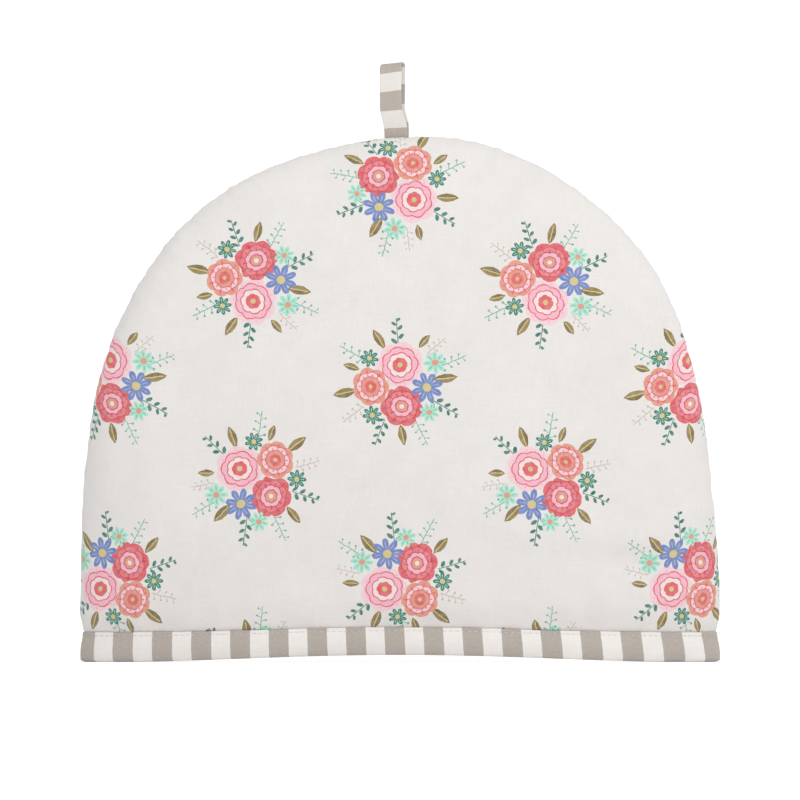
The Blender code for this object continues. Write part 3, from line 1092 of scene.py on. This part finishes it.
SPRAYS = (
    Spot(2.0, -28.5, -84, 9.4, 5.2, "sage"),
    Spot(-26.0, 16.0, 148, 8.4, 4.8, "sage"),
    Spot(15.0, 25.5, 62, 8.2, 4.6, "sage"),
    Spot(-27.5, 4.0, 168, 7.0, 4.0, "taupe"),
    Spot(28.5, -9.5, -16, 7.6, 4.4, "taupe"),
)

# Rings of petals of a rosette of radius 1, in the order in which they are laid, each
# over a slightly larger ring in its shadow's ink
Ring = namedtuple("Ring", "reach notch turn shadow ink")
ROSETTE_RINGS = (
    Ring(1.00, 0.15, 0.0, None, "outer"),
    Ring(0.74, 0.15, 0.5, "fold", "middle"),
    Ring(0.50, 0.15, 0.0, "shade", "inner"),
    Ring(0.27, 0.12, 0.5, "fold", "heart"),
)
ROSETTE_PETALS = 7
RosetteInks = namedtuple("RosetteInks", "outer middle inner heart fold shade line eye")
ROSETTE_INKS = {
    "pink": RosetteInks("blush", "pink", "petal", "coral", "coral", "coral", "pink", "straw"),
    "coral": RosetteInks("coral", "rouge", "pink", "salmon", "wine", "wine", "wine", "petal"),
    "salmon": RosetteInks(
        "salmon", "blush", "salmon", "coral", "coral", "coral", "coral", "straw"
    ),
}
DaisyInks = namedtuple("DaisyInks", "petal line heart")
DAISY_INKS = {
    "blue": DaisyInks("blue", "mist", "straw"),
    "mint": DaisyInks("mint", "sage", "salmon"),
    "teal": DaisyInks("teal", "mint", "straw"),
}


def both(tree, *masks):
    """1 where all masks are 1."""
    mask = masks[0]
    for other in masks[1:]:
        mask = tree.times(mask, other)
    return mask


def gathered(tree, place, spots, reach=1.0):
    """The place measured from whichever spot covers it, and the masks of all but the first."""
    near = tree.placed(place, *spots[0][:5])
    masks = []
    for spot in spots[1:]:
        own = tree.placed(place, *spot[:5])
        inside = tree.inside(own, reach)
        inputs = {0: inside, 4: near, 5: own}
        near = tree.add("ShaderNodeMix", inputs, data_type="VECTOR").outputs[1]
        masks.append(inside)
    return near, masks


def chosen(tree, masks, inks):
    """The ink of whichever spot covers a point."""
    colour = inks[0]
    for mask, ink in zip(masks, inks[1:]):
        if ink != inks[0]:
            colour = tree.mixed(mask, colour, ink)
    return colour


def inks_of(tree, masks, spots, kinds, table, ink):
    """The ink of each part of whichever spot covers a point."""
    return {
        part: chosen(tree, masks, [ink(getattr(table[spot.ink], part)) for spot in spots])
        for part in kinds._fields
    }


def petal_wave(tree, near, petals, turn=0.0):
    """1 on the middle line of each petal and 0 between two petals."""
    x, y = tree.parts(near)
    angle = tree.maths("ARCTAN2", y, x)
    half_turn = tree.scaled(angle, petals / 2.0, turn * math.pi)
    return tree.maths("ABSOLUTE", tree.maths("COSINE", half_turn))


def rosettes(tree, place, under, ink):
    """Full round flowers with four rings of scalloped petals."""
    near, masks = gathered(tree, place, ROSETTES)
    inks = inks_of(tree, masks, ROSETTES, RosetteInks, ROSETTE_INKS, ink)
    radius = tree.length(near)
    waves = {turn: petal_wave(tree, near, ROSETTE_PETALS, turn) for turn in (0.0, 0.5)}
    rounded = {turn: tree.maths("POWER", wave, 0.55) for turn, wave in waves.items()}
    colour = under
    for number_of_ring, ring in enumerate(ROSETTE_RINGS):
        share = tree.scaled(rounded[ring.turn], ring.notch, 1.0 - ring.notch)
        reach = tree.maths("DIVIDE", radius, share)
        if ring.shadow:
            colour = tree.mixed(tree.below(reach, ring.reach + 0.055), colour, inks[ring.shadow])
        colour = tree.mixed(tree.below(reach, ring.reach), colour, inks[ring.ink])
        if number_of_ring < 2:
            # a stroke along each petal and the clefts between two
            stroke = tree.maths("GREATER_THAN", waves[ring.turn], 0.985)
            stroke = both(tree, stroke, tree.below(reach, 0.86 * ring.reach))
            cleft = both(tree, tree.below(waves[ring.turn], 0.12), tree.below(reach, ring.reach))
            stroke = tree.maths("MAXIMUM", stroke, cleft)
            colour = tree.mixed(stroke, colour, inks["line"])
    return tree.mixed(tree.below(radius, 0.11), colour, inks["eye"])


def daisies(tree, place, under, ink):
    """Open flowers with eight slim petals round a dotted heart."""
    near, masks = gathered(tree, place, DAISIES)
    inks = inks_of(tree, masks, DAISIES, DaisyInks, DAISY_INKS, ink)
    radius = tree.length(near)
    wave = petal_wave(tree, near, 8)
    edge = tree.scaled(tree.maths("POWER", wave, 0.7), 0.62, 0.38)
    colour = tree.mixed(tree.below(radius, edge), under, inks["petal"])
    line = both(tree, tree.maths("GREATER_THAN", wave, 0.975), tree.below(radius, 0.74))
    colour = tree.mixed(line, colour, inks["line"])
    colour = tree.mixed(tree.below(radius, 0.36), colour, inks["petal"])
    return tree.mixed(tree.below(radius, 0.27), colour, inks["heart"])


def leaves(tree, place, under, ink):
    """Pointed leaves, one half darker, with a pale midrib."""
    near = gathered(tree, place, LEAVES)[0]
    x, y = tree.parts(near)
    edge = tree.scaled(tree.times(x, x), -1.0, 1.0)
    off = tree.maths("ABSOLUTE", y)
    colour = tree.mixed(tree.below(off, edge), under, ink("olive"))
    dark = both(tree, tree.below(off, edge), tree.maths("GREATER_THAN", y, 0.0))
    colour = tree.mixed(dark, colour, ink("moss"))
    rib = both(tree, tree.below(off, 0.12), tree.below(tree.maths("ABSOLUTE", x), 0.75))
    return tree.mixed(rib, colour, ink("straw"))


def stem_cells(tree, near, spot, pairs):
    """Stem distance and repeated cells along a stem, staggered on its two sides.

    A cell is 1 long, and its place is measured from its middle on the stem. It shrinks
    towards the stem's tip.
    """
    x, y = tree.parts(near)
    off = tree.maths("ABSOLUTE", y)
    upper = tree.maths("GREATER_THAN", y, 0.0)
    cell = tree.scaled(x, 0.5 * pairs, tree.times(upper, 0.5))
    part = tree.maths("SUBTRACT", tree.maths("FRACT", cell), 0.5)
    across = tree.times(off, 0.5 * pairs * spot.wide / spot.long)
    shrink = tree.scaled(x, -0.20, 0.86)
    local = tree.joined(tree.maths("DIVIDE", part, shrink), tree.maths("DIVIDE", across, shrink))
    along = tree.below(tree.maths("ABSOLUTE", x), 0.92)
    stem = both(tree, along, tree.below(off, 0.25 / spot.wide))
    return local, stem, along


def fronds(tree, place, under, ink):
    """Stems with staggered solid leaves."""
    near = gathered(tree, place, FRONDS)[0]
    local, stem, along = stem_cells(tree, near, FRONDS[0], 3.6)
    leaf = tree.inside(tree.placed(local, 0.06, 0.44, 50, 0.42, 0.22))
    leaf = both(tree, leaf, along, tree.inside(near))
    return tree.mixed(tree.maths("MAXIMUM", stem, leaf), under, ink("teal"))


def sprays(tree, place, under, ink):
    """Fine stems with small buds on stalks."""
    near, masks = gathered(tree, place, SPRAYS)
    colour = chosen(tree, masks, [ink(spot.ink) for spot in SPRAYS])
    local, stem, along = stem_cells(tree, near, SPRAYS[0], 4.2)
    bud = tree.inside(tree.placed(local, 0.16, 0.74, 0, 0.17, 0.17))
    stalk = tree.inside(tree.placed(local, 0.0, 0.36, 66, 0.42, 0.055))
    inside = both(tree, along, tree.inside(near))
    drawn = both(tree, tree.maths("MAXIMUM", bud, stalk), inside)
    return tree.mixed(tree.maths("MAXIMUM", stem, drawn), under, colour)


# Turn in radians from one posy to the next of a column, and of every other column
ROW_TURN = 2.2
COLUMN_TURN = 0.9


def printed(colours, pattern):
    """Colour function of cotton printed with posies in a half-drop repeat."""

    def ink(name):
        return (*getattr(colours, name), 1.0)

    def colour_of(tree, place):
        # the print's edges are a little rough
        rough = tree.vector("SUBTRACT", tree.noise(place, 420.0, 2.0)[1], (0.5, 0.5, 0.5))
        rough = tree.vector("MULTIPLY", rough, (0.0008, 0.0008, 0.0))
        u, v = tree.parts(tree.vector("ADD", place, rough))
        across = tree.maths("DIVIDE", u, pattern.posy_across)
        column = tree.maths("ROUND", across)
        x = tree.times(tree.maths("SUBTRACT", across, column), pattern.posy_across)
        odd = tree.maths("FLOORED_MODULO", column, 2.0)
        up = tree.maths("DIVIDE", tree.maths("SUBTRACT", v, pattern.posy_first), pattern.posy_up)
        up = tree.scaled(odd, 0.5, up)
        row = tree.maths("ROUND", up)
        y = tree.times(tree.maths("SUBTRACT", up, row), pattern.posy_up)
        # every other column is mirrored, and the posies of a column turn in steps
        x = tree.times(x, tree.scaled(odd, -2.0, 1.0))
        step = tree.maths("FLOORED_MODULO", row, 3.0)
        turn = tree.scaled(step, ROW_TURN, tree.times(odd, COLUMN_TURN))
        inputs = {"Vector": tree.joined(x, y), "Angle": turn}
        local = tree.add("ShaderNodeVectorRotate", inputs, rotation_type="Z_AXIS").outputs[0]
        local = tree.vector("MULTIPLY", local, (1000.0, 1000.0, 0.0))
        colour = ink("ground")
        for motif in (sprays, fronds, leaves, rosettes, daisies):
            colour = motif(tree, local, colour, ink)
        # the cloth takes the inks up unevenly
        taken = tree.noise(place, 330.0, 3.0, 0.6)[0]
        return tree.mixed(tree.ramp(taken, 0.3, 0.7, 0.80), ink("ground"), colour)

    return colour_of


# ---------------------------------------------------------------- operators


def groups(context):
    """The four property groups of the scene."""
    return [getattr(context.scene, name) for name in GROUPS]


def dress_wall(context, wall):
    """Builds one padded wall with its printed and plain faces."""
    sizes, relief, pattern, colours = groups(context)
    piece = padded_wall(sizes, relief, wall)
    # the printed faces get the painted shade towards the hem
    for name, colour_of, hem_painted_shade in (
        ("printed_cotton", printed(colours, pattern), HEM_PAINTED_SHADE),
        ("plain_cotton", plain(colours.lining), 0.0),
    ):
        material = bpy.data.materials.get(name) or cotton(name, colour_of, pattern, hem_painted_shade)
        piece.data.materials.append(material)
    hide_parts(wall.node)


def dress_strip(context, build, name, white, pitch, *slant):
    """Builds one strip in its own striped cotton."""
    sizes, relief, pattern, colours = groups(context)
    piece = build(sizes, relief, pattern)
    colour_of = striped(colours, pattern, getattr(colours, white), getattr(pattern, pitch), *slant)
    piece.data.materials.append(cotton(name, colour_of, pattern))


class COSY_OT_front_wall(bpy.types.Operator):
    """Add the padded front wall in printed cotton"""

    bl_idname = "cosy.front_wall"
    bl_label = "Front wall"

    def execute(self, context):
        dress_wall(context, FRONT_WALL)
        return {"FINISHED"}


class COSY_OT_back_wall(bpy.types.Operator):
    """Add the padded back wall in printed cotton"""

    bl_idname = "cosy.back_wall"
    bl_label = "Back wall"

    def execute(self, context):
        dress_wall(context, BACK_WALL)
        return {"FINISHED"}


class COSY_OT_hem_binding(bpy.types.Operator):
    """Add the striped strip wrapped round the hem"""

    bl_idname = "cosy.hem_binding"
    bl_label = "Hem binding"

    def execute(self, context):
        look = ("striped_cotton", "stripe_white", "stripe", 0.0, 0.055, 0.07)
        dress_strip(context, hem_binding, *look)
        return {"FINISHED"}


class COSY_OT_hanging_loop(bpy.types.Operator):
    """Add the striped hanging loop caught in the crown seam"""

    bl_idname = "cosy.hanging_loop"
    bl_label = "Hanging loop"

    def execute(self, context):
        # the loop's white stripe is painted shade: a darker copy of the binding's white
        look = ("loop_cotton", "loop_white", "loop_stripe", 0.0070, -0.05)
        dress_strip(context, hanging_loop, *look)
        return {"FINISHED"}


class COSY_OT_hem_stitches(bpy.types.Operator):
    """Add the machine stitches that hold the binding"""

    bl_idname = "cosy.hem_stitches"
    bl_label = "Hem stitches"

    def execute(self, context):
        sizes, _, _, colours = groups(context)
        material, tree, shader = new_material("sewing_thread")
        fleck = tree.noise(object_place(tree), 3000.0, 1.0)[0]
        shaded = tuple(0.8 * channel for channel in colours.thread)
        colour = tree.mixed(fleck, (*shaded, 1.0), (*colours.thread, 1.0))
        tree.fill(shader, {"Base Color": colour, "Roughness": 0.6})
        hem_stitches(sizes).data.materials.append(material)
        return {"FINISHED"}


class COSY_OT_studio(bpy.types.Operator):
    """Add the pale floor, the soft lights and the camera"""

    bl_idname = "cosy.studio"
    bl_label = "Studio"

    def execute(self, context):
        build_studio(context)
        return {"FINISHED"}


# ---------------------------------------------------------------- studio

FRAME_WIDTH = 0.4283
VIEW_CENTRE = (0.0003, 0.1403)
VIEW_DISTANCE = 9.0
VIEW_HEIGHT = 0.005
SENSOR = 36.0
FLOOR_RADIUS = 14.0
# The air is this bright at eye level, and darker between the two heights of AIR_RISE
AIR_LIGHT = 1.12
AIR_RISE = (0.03, 0.25)
TOP_SHADE = 0.21
# Further shade towards a side: axis, sign, amount and how narrow it is
Shade = namedtuple("Shade", "axis sign amount power")
SIDE_SHADES = (Shade(0, -1.0, 1.2, 4.2), Shade(0, 1.0, 0.1, 2.0), Shade(1, -1.0, 0.2, 2.0))
KEY_PLACE = (0.42, -2.1, 1.85)
KEY_AIM = (0.0, 0.0, 0.14)
KEY_SIZE = 1.2
KEY_POWER = 21.5
KEY_COLOUR = (1.0, 0.995, 0.985)
PAPER_GREYS = (0.81, 0.83)
# The paper's own light grows from the first strength to the second over these distances
FLOOR_GLOW = (0.18, 0.45)
GLOW_REACH = (0.30, 1.5)


def build_studio(context):
    """Pale floor, soft white surroundings, a soft key from above right, face-on camera."""
    scene = context.scene
    bpy.ops.object.select_all(action="DESELECT")
    bpy.ops.mesh.primitive_circle_add(vertices=96, radius=FLOOR_RADIUS, fill_type="NGON")
    floor = context.object
    floor.name = "studio_floor"
    bpy.ops.object.mode_set(mode="EDIT")
    bpy.ops.mesh.inset(thickness=0.6 * FLOOR_RADIUS)
    bpy.ops.object.mode_set(mode="OBJECT")
    material, tree, shader = new_material("studio_paper")
    place = object_place(tree)
    grain = tree.noise(place, 60.0, 2.0)[0]
    looks = {
        "Base Color": tree.mixed(grain, *((*[grey] * 3, 1.0) for grey in PAPER_GREYS)),
        "Roughness": 0.9,
        "Specular IOR Level": 0.1,
        "Emission Color": (1.0, 1.0, 1.0, 1.0),
        "Emission Strength": tree.ramp(tree.length(place), *GLOW_REACH, *FLOOR_GLOW),
    }
    tree.fill(shader, looks)
    floor.data.materials.append(material)

    # white all round at eye level, and darker above it: most of all to the left
    world = bpy.data.worlds.new("studio_air")
    world.use_nodes = True
    tree = Tree(world.node_tree)
    away = tree.add("ShaderNodeTexCoord").outputs["Generated"]
    towards = tree.parts(away, 3)
    total = 0.0
    for shade in SIDE_SHADES:
        share = tree.maths("MAXIMUM", tree.times(towards[shade.axis], shade.sign), 0.0)
        total = tree.scaled(tree.maths("POWER", share, shade.power), shade.amount, total)
    total = tree.times(tree.plus(total, TOP_SHADE), tree.ramp(towards[2], *AIR_RISE))
    level = tree.maths("MAXIMUM", tree.maths("SUBTRACT", AIR_LIGHT, total), 0.0)
    tree.fill(world.node_tree.nodes["Background"], {0: (1.0, 1.0, 1.0, 1.0), 1: level})
    scene.world = world
    light_data = bpy.data.lights.new("key", "AREA")
    light_data.shape = "SQUARE"
    light_data.size = KEY_SIZE
    light_data.energy = KEY_POWER
    light_data.color = KEY_COLOUR
    add_facing("key", light_data, KEY_PLACE, KEY_AIM)

    scene.view_settings.view_transform = "Standard"
    camera_data = bpy.data.cameras.new("camera")
    camera_data.sensor_width = SENSOR
    camera_data.lens = SENSOR * VIEW_DISTANCE / FRAME_WIDTH
    camera_data.clip_end = 60.0
    aim = (VIEW_CENTRE[0], WALL_LOW[1] / 2.0, VIEW_CENTRE[1])
    place = (aim[0], aim[1] - VIEW_DISTANCE, VIEW_HEIGHT)
    scene.camera = add_facing("camera", camera_data, place, aim)


def add_facing(name, data, place, aim):
    """An object at a place that faces a point."""
    thing = bpy.data.objects.new(name, data)
    thing.location = place
    thing.rotation_euler = (Vector(aim) - Vector(place)).to_track_quat("-Z", "Y").to_euler()
    bpy.context.scene.collection.objects.link(thing)
    return thing


class COSY_PT_pieces(bpy.types.Panel):
    """Sizes, colours and pieces of the tea cosy"""

    bl_idname = "COSY_PT_pieces"
    bl_label = "Tea cosy"
    bl_space_type = "VIEW_3D"
    bl_region_type = "UI"
    bl_category = "Tea cosy"

    def draw(self, context):
        layout = self.layout
        for operator in OPERATORS:
            layout.operator(operator.bl_idname)
        for group in groups(context):
            box = layout.box()
            for name in group.__annotations__:
                box.prop(group, name)


OPERATORS = (
    COSY_OT_front_wall,
    COSY_OT_back_wall,
    COSY_OT_hem_binding,
    COSY_OT_hanging_loop,
    COSY_OT_hem_stitches,
    COSY_OT_studio,
)
GROUPS = {
    "cosy_sizes": CosySizes,
    "cosy_relief": CosyRelief,
    "cosy_print": CosyPrint,
    "cosy_colours": CosyColours,
}
CLASSES = (*GROUPS.values(), *OPERATORS, COSY_PT_pieces)


def register():
    """Makes the groups, operators and panel known to Blender."""
    for cls in CLASSES:
        bpy.utils.register_class(cls)
    for name, group in GROUPS.items():
        setattr(bpy.types.Scene, name, bpy.props.PointerProperty(type=group))


def unregister():
    """Takes them away again."""
    for name in GROUPS:
        delattr(bpy.types.Scene, name)
    for cls in reversed(CLASSES):
        bpy.utils.unregister_class(cls)


def main():
    """Builds every piece and the studio."""
    register()
    bpy.ops.cosy.front_wall()
    bpy.ops.cosy.back_wall()
    bpy.ops.cosy.hem_binding()
    bpy.ops.cosy.hanging_loop()
    bpy.ops.cosy.hem_stitches()
    bpy.ops.cosy.studio()


if __name__ == "__main__":
    main()
